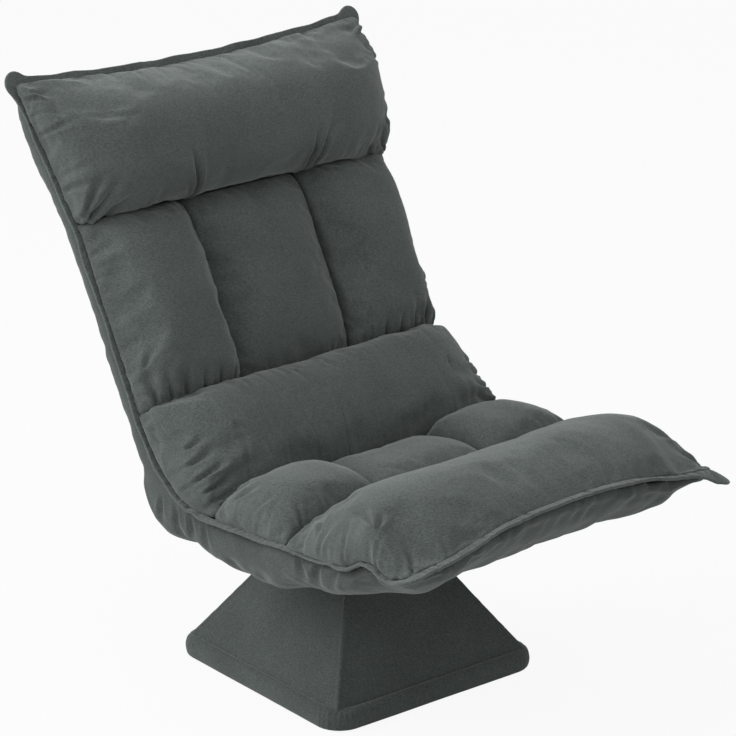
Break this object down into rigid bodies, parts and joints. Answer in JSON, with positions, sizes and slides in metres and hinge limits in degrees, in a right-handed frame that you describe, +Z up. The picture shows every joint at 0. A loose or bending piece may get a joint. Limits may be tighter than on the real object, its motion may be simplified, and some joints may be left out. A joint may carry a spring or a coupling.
{
  "type": "folding floor chair",
  "caption": "Low padded lounge chair with a high channelled back on a ratchet hinge, turning on a square padded swivel base.",
  "frame": {"origin": "middle of the base's underside on the floor, which is the swivel axis", "axes": "+Z up, the chair faces -Y, +X to the right of someone looking at its front"},
  "size_m": [0.604, 0.7443, 0.795],
  "materials": {
    "cushion_cloth": "matte",
    "under_cloth": "matte",
    "welt_cloth": "matte",
    "base_cloth": "matte",
    "webbing": "matte",
    "plywood": "matte",
    "frame_steel": "satin",
    "zinc_steel": "satin",
    "hinge_steel": "satin",
    "cage_plastic": "matte",
    "anti_slip_rubber": "matte"
  },
  "bodies": {
    "base": {"base_board": "plywood", "base_cover": "base_cloth", "floor_pad": "anti_slip_rubber", "head_block": "plywood", "leg_foot_plates": "frame_steel", "leg_screws": "zinc_steel", "plinth_band": "base_cloth", "post_legs": "frame_steel", "post_panel_front": "plywood", "post_panel_left": "plywood", "post_panel_rear": "plywood", "post_panel_right": "plywood", "swivel_balls": "zinc_steel", "swivel_cage": "cage_plastic", "swivel_lower_plate": "zinc_steel", "swivel_lower_screws": "zinc_steel"},
    "seat": {"front_roll": "cushion_cloth", "hinge_gusset": "under_cloth", "hinge_pin_left": "hinge_steel", "hinge_pin_right": "hinge_steel", "lumbar_roll": "cushion_cloth", "ratchet_plate_left": "hinge_steel", "ratchet_plate_right": "hinge_steel", "seat_cross_bars": "frame_steel", "seat_flange": "welt_cloth", "seat_frame_tube": "frame_steel", "seat_mount_board": "plywood", "seat_pedestal": "frame_steel", "seat_pillow_left": "cushion_cloth", "seat_pillow_middle": "cushion_cloth", "seat_pillow_right": "cushion_cloth", "seat_shell": "under_cloth", "seat_webbing": "webbing", "swivel_rivet": "zinc_steel", "swivel_upper_bolts": "zinc_steel", "swivel_upper_plate": "zinc_steel"},
    "back": {"back_cross_tube": "frame_steel", "back_flange": "welt_cloth", "back_frame_tube": "frame_steel", "back_pillow_left": "cushion_cloth", "back_pillow_middle": "cushion_cloth", "back_pillow_right": "cushion_cloth", "back_shell": "under_cloth", "back_webbing": "webbing", "head_roll": "cushion_cloth", "hinge_arm_left": "hinge_steel", "hinge_arm_right": "hinge_steel", "pawl_left": "hinge_steel", "pawl_right": "hinge_steel"}
  },
  "joints": [
    {"name": "swivel_turn", "type": "hinge", "parent": "base", "child": "seat", "pos_m": [0, 0, 0.19], "axis": [0, 0, 1], "continuous": true},
    {"name": "back_fold", "type": "hinge", "parent": "seat", "child": "back", "pos_m": [0, 0.08, 0.3], "axis": [1, 0, 0], "range_deg": [-66.5, 80], "deforming": ["lumbar_roll", "hinge_gusset"]}
  ]
}
